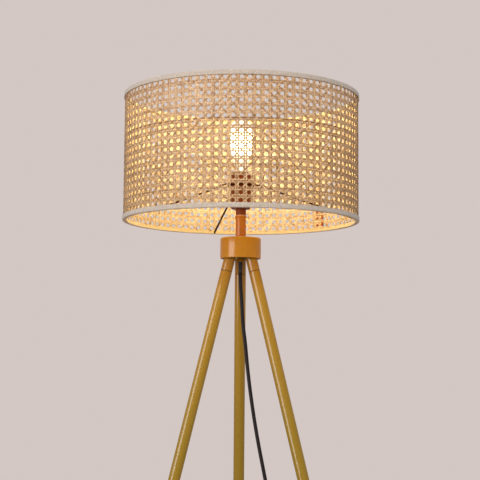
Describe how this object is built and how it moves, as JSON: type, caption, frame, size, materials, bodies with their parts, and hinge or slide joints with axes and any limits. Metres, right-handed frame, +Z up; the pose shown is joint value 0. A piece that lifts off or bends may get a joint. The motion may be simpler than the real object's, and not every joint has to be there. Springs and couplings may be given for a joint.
{
  "type": "floor lamp",
  "caption": "Tripod floor lamp with an open drum shade of woven cane webbing, linen-trimmed rims, a bare bulb in its holder, round metal legs, and a cord with a foot switch and a plug.",
  "frame": {"origin": "on the floor, at the middle of the lamp's footprint", "axes": "+Z up, the back leg points along +Y, and the lamp's own axis stands at x = 0, y = -0.0678"},
  "size_m": [0.6314, 0.5896, 1.5],
  "materials": {
    "ochre_metal": "satin ochre lacquer",
    "brown_phenolic": "glossy dark reddish brown",
    "dark_wire": "dark lacquered wire",
    "linen": "greige woven linen",
    "cane": "natural cane, matt",
    "bright_metal": "bright plated steel",
    "contact_brass": "plain brass",
    "black_plastic": "black, fine matt grain",
    "cord_sheath": "smooth black sheath",
    "foot_rubber": "black rubber",
    "opal_glass": "opal, lit warm white",
    "insert_ceramic": "unglazed"
  },
  "bodies": {
    "lamp": {"cane_panel_1": "cane", "cane_panel_2": "cane", "cane_panel_3": "cane", "cane_panel_4": "cane", "cane_panel_5": "cane", "cane_panel_6": "cane", "cane_panel_7": "cane", "cane_panel_8": "cane", "lower_trim_band": "linen", "upper_trim_band": "linen", "lower_rim_ring": "dark_wire", "upper_rim_ring": "dark_wire", "fitter_spoke_1": "dark_wire", "fitter_spoke_2": "dark_wire", "fitter_spoke_3": "dark_wire", "fitter_ring": "dark_wire", "holder_cap": "brown_phenolic", "holder_shell": "brown_phenolic", "shade_ring": "brown_phenolic", "holder_insert": "insert_ceramic", "contact_tongue": "contact_brass", "screw_sleeve": "bright_metal", "bulb_cap": "bright_metal", "bulb_glass": "opal_glass", "neck_tube": "ochre_metal", "stem": "bright_metal", "hub_shell": "ochre_metal", "hub_plate": "ochre_metal", "stem_nut": "ochre_metal", "plate_screw": "bright_metal", "inner_lead": "cord_sheath", "leg_socket_1": "ochre_metal", "upper_leg_1": "ochre_metal", "lower_leg_1": "ochre_metal", "rubber_foot_1": "foot_rubber", "leg_socket_2": "ochre_metal", "upper_leg_2": "ochre_metal", "lower_leg_2": "ochre_metal", "rubber_foot_2": "foot_rubber", "leg_socket_3": "ochre_metal", "upper_leg_3": "ochre_metal", "lower_leg_3": "ochre_metal", "rubber_foot_3": "foot_rubber", "strain_relief": "black_plastic", "cord_drop": "cord_sheath", "switch_base": "black_plastic", "switch_cover": "black_plastic", "cord_run": "cord_sheath", "cord_coil": "cord_sheath", "coil_tie": "black_plastic", "plug_body": "black_plastic", "plug_pin_1": "bright_metal", "plug_pin_2": "bright_metal"},
    "button": {"switch_button": "black_plastic"}
  },
  "joints": [
    {"name": "button_press", "type": "slide", "parent": "lamp", "child": "button", "axis": [0, 0, -1], "range_m": [0, 0.003], "stiffness_N_per_m": 600}
  ]
}
